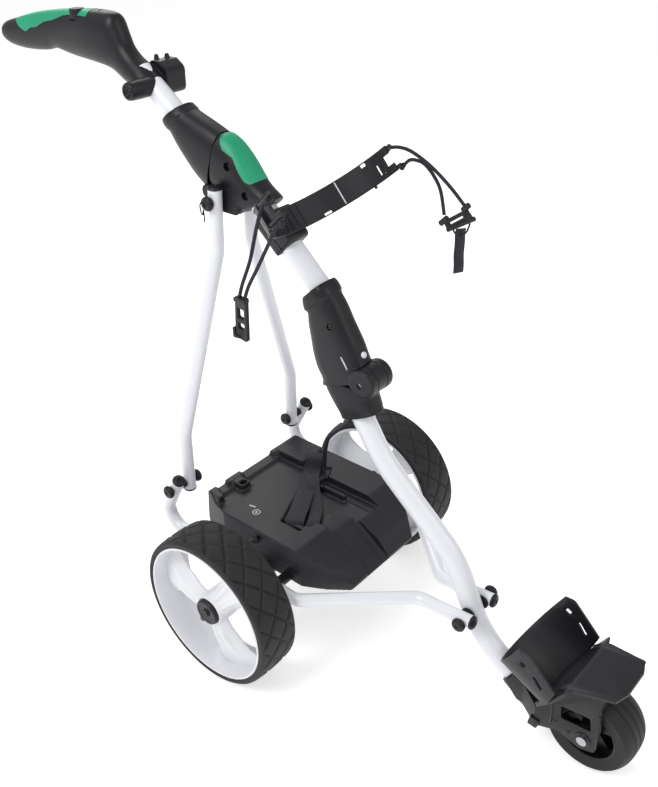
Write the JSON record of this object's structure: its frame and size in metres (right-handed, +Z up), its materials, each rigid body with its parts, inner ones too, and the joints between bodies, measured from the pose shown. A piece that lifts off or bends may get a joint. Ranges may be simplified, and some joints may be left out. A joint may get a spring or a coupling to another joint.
{
  "type": "electric golf trolley",
  "caption": "Three-wheeled powered golf bag trolley with a folding spine, side struts and rails, a battery tray, a bag cradle and base, and a handle with a speed dial.",
  "frame": {"origin": "on the ground at the middle of the length and width; the rear axle is 17.9 mm in front of the origin", "axes": "+X forwards to the front wheel, +Y to the trolley's left, +Z up"},
  "size_m": [1.4838, 0.59, 1.127],
  "materials": {
    "white_paint": "gloss white enamel",
    "black_plastic": "charcoal satin moulding",
    "green_rubber": "soft-touch green",
    "white_plastic": "gloss white moulding",
    "tyre": "matt tread rubber",
    "steel": "zinc-plated steel",
    "gear_steel": "machined steel",
    "black_steel": "black powder coat",
    "webbing": "woven nylon",
    "cord": "braided elastic cord",
    "rim_black": "black moulding"
  },
  "bodies": {
    "chassis": {"rail_right": "white_paint", "rail_left": "white_paint", "rail_plugs": "black_plastic", "rail_bolts": "steel", "rail_spacers": "black_plastic", "rail_knobs": "black_plastic", "axle_housings": "black_steel", "axle_bearings": "steel", "gearbox_case": "black_plastic", "gearbox_cover": "black_plastic", "motor": "black_steel", "controller_box": "black_plastic", "battery_tray": "black_plastic", "battery_strap": "webbing", "power_lead": "cord"},
    "axle": {"rear_axle": "steel", "drive_gear": "gear_steel"},
    "motor_shaft": {"motor_pinion": "gear_steel"},
    "wheel_right": {"rear_rim_right": "white_plastic", "rear_tyre_right": "tyre", "hub_cap_right": "black_plastic"},
    "wheel_left": {"rear_rim_left": "white_plastic", "rear_tyre_left": "tyre", "hub_cap_left": "black_plastic"},
    "wheel_button_right": {"wheel_button_right": "black_plastic"},
    "wheel_button_left": {"wheel_button_left": "black_plastic"},
    "front_leg": {"lower_spine_tube": "white_paint", "leg_hinge_shell": "black_plastic", "front_bracket": "black_plastic", "front_axle_bolt": "steel", "bag_base": "black_plastic"},
    "front_wheel": {"front_rim": "rim_black", "front_tyre": "tyre", "front_bearings": "steel"},
    "mast": {"mid_spine_tube": "white_paint", "mast_hinge_shell": "black_plastic", "hinge_pins": "steel", "upper_housing": "black_plastic", "strut_top_bolt": "steel", "strut_top_knobs": "black_plastic", "bag_clamp": "black_plastic", "bag_cradle": "black_plastic", "bag_cords": "cord", "cord_hook": "black_plastic", "cord_buckle": "black_plastic", "webbing_tail": "webbing"},
    "struts": {"strut_right": "white_paint", "strut_left": "white_paint", "strut_plugs": "black_plastic", "strut_foot_knobs": "black_plastic"},
    "handle": {"handle_knuckle": "black_plastic", "handle_shaft_tube": "white_paint", "handle_shell_right": "black_plastic", "handle_shell_left": "black_plastic", "grip_inlay": "green_rubber"},
    "fold_button": {"fold_button": "white_plastic"},
    "release_pad": {"release_pad": "green_rubber"},
    "clamp_knob": {"clamp_knob": "black_plastic"},
    "speed_dial": {"speed_dial": "black_plastic"},
    "power_button": {"power_button": "black_plastic"}
  },
  "joints": [
    {"name": "axle_spin", "type": "hinge", "parent": "chassis", "child": "axle", "pos_m": [0.01794, 0, 0.155], "axis": [0, 1, 0], "continuous": true},
    {"name": "motor_spin", "type": "hinge", "parent": "chassis", "child": "motor_shaft", "pos_m": [0.06394, 0, 0.155], "axis": [0, 1, 0], "continuous": true},
    {"name": "wheel_spin_right", "type": "hinge", "parent": "axle", "child": "wheel_right", "pos_m": [0.01794, 0, 0.155], "axis": [0, 1, 0], "continuous": true},
    {"name": "wheel_spin_left", "type": "hinge", "parent": "axle", "child": "wheel_left", "pos_m": [0.01794, 0, 0.155], "axis": [0, 1, 0], "continuous": true},
    {"name": "wheel_release_right", "type": "slide", "parent": "wheel_right", "child": "wheel_button_right", "axis": [0, 1, 0], "range_m": [0, 0.003]},
    {"name": "wheel_release_left", "type": "slide", "parent": "wheel_left", "child": "wheel_button_left", "axis": [0, -1, 0], "range_m": [0, 0.003]},
    {"name": "leg_fold", "type": "hinge", "parent": "chassis", "child": "front_leg", "pos_m": [0.41494, 0, 0.19], "axis": [0, -1, 0], "range_deg": [0, 31.1]},
    {"name": "main_fold", "type": "hinge", "parent": "front_leg", "child": "mast", "pos_m": [0.18094, 0, 0.582], "axis": [0, 1, 0], "range_deg": [0, 166.2], "deforming": ["bag_cords", "cord_hook", "cord_buckle", "webbing_tail", "power_lead"]},
    {"name": "strut_fold", "type": "hinge", "parent": "mast", "child": "struts", "pos_m": [-0.12506, 0, 0.846], "axis": [0, -1, 0], "range_deg": [0, 62]},
    {"name": "front_wheel_spin", "type": "hinge", "parent": "front_leg", "child": "front_wheel", "pos_m": [0.66294, 0, 0.079], "axis": [0, 1, 0], "continuous": true},
    {"name": "fold_button_push", "type": "slide", "parent": "mast", "child": "fold_button", "axis": [-0.9322, 0, -0.3621], "range_m": [0, 0.003]},
    {"name": "release_pad_push", "type": "slide", "parent": "mast", "child": "release_pad", "axis": [-0.5593, 0, -0.829], "range_m": [0, 0.003]},
    {"name": "clamp_knob_turn", "type": "hinge", "parent": "mast", "child": "clamp_knob", "pos_m": [-0.01366, -0.0312, 0.83001], "axis": [0, -1, 0], "continuous": true},
    {"name": "handle_fold", "type": "hinge", "parent": "mast", "child": "handle", "pos_m": [-0.16006, 0, 0.852], "axis": [0, -1, 0], "range_deg": [0, 100]},
    {"name": "speed_dial_turn", "type": "hinge", "parent": "handle", "child": "speed_dial", "pos_m": [-0.48706, -0.009, 1.114], "axis": [0, 0, 1], "range_deg": [-135, 135]},
    {"name": "power_button_push", "type": "slide", "parent": "handle", "child": "power_button", "axis": [0, 0, -1], "range_m": [0, 0.002]}
  ],
  "couplings": [
    {"joint": "motor_spin", "follows": "axle_spin", "ratio": -6.6667},
    {"joint": "leg_fold", "follows": "main_fold", "ratio": 0.1862},
    {"joint": "strut_fold", "follows": "main_fold", "ratio": 0.372}
  ]
}
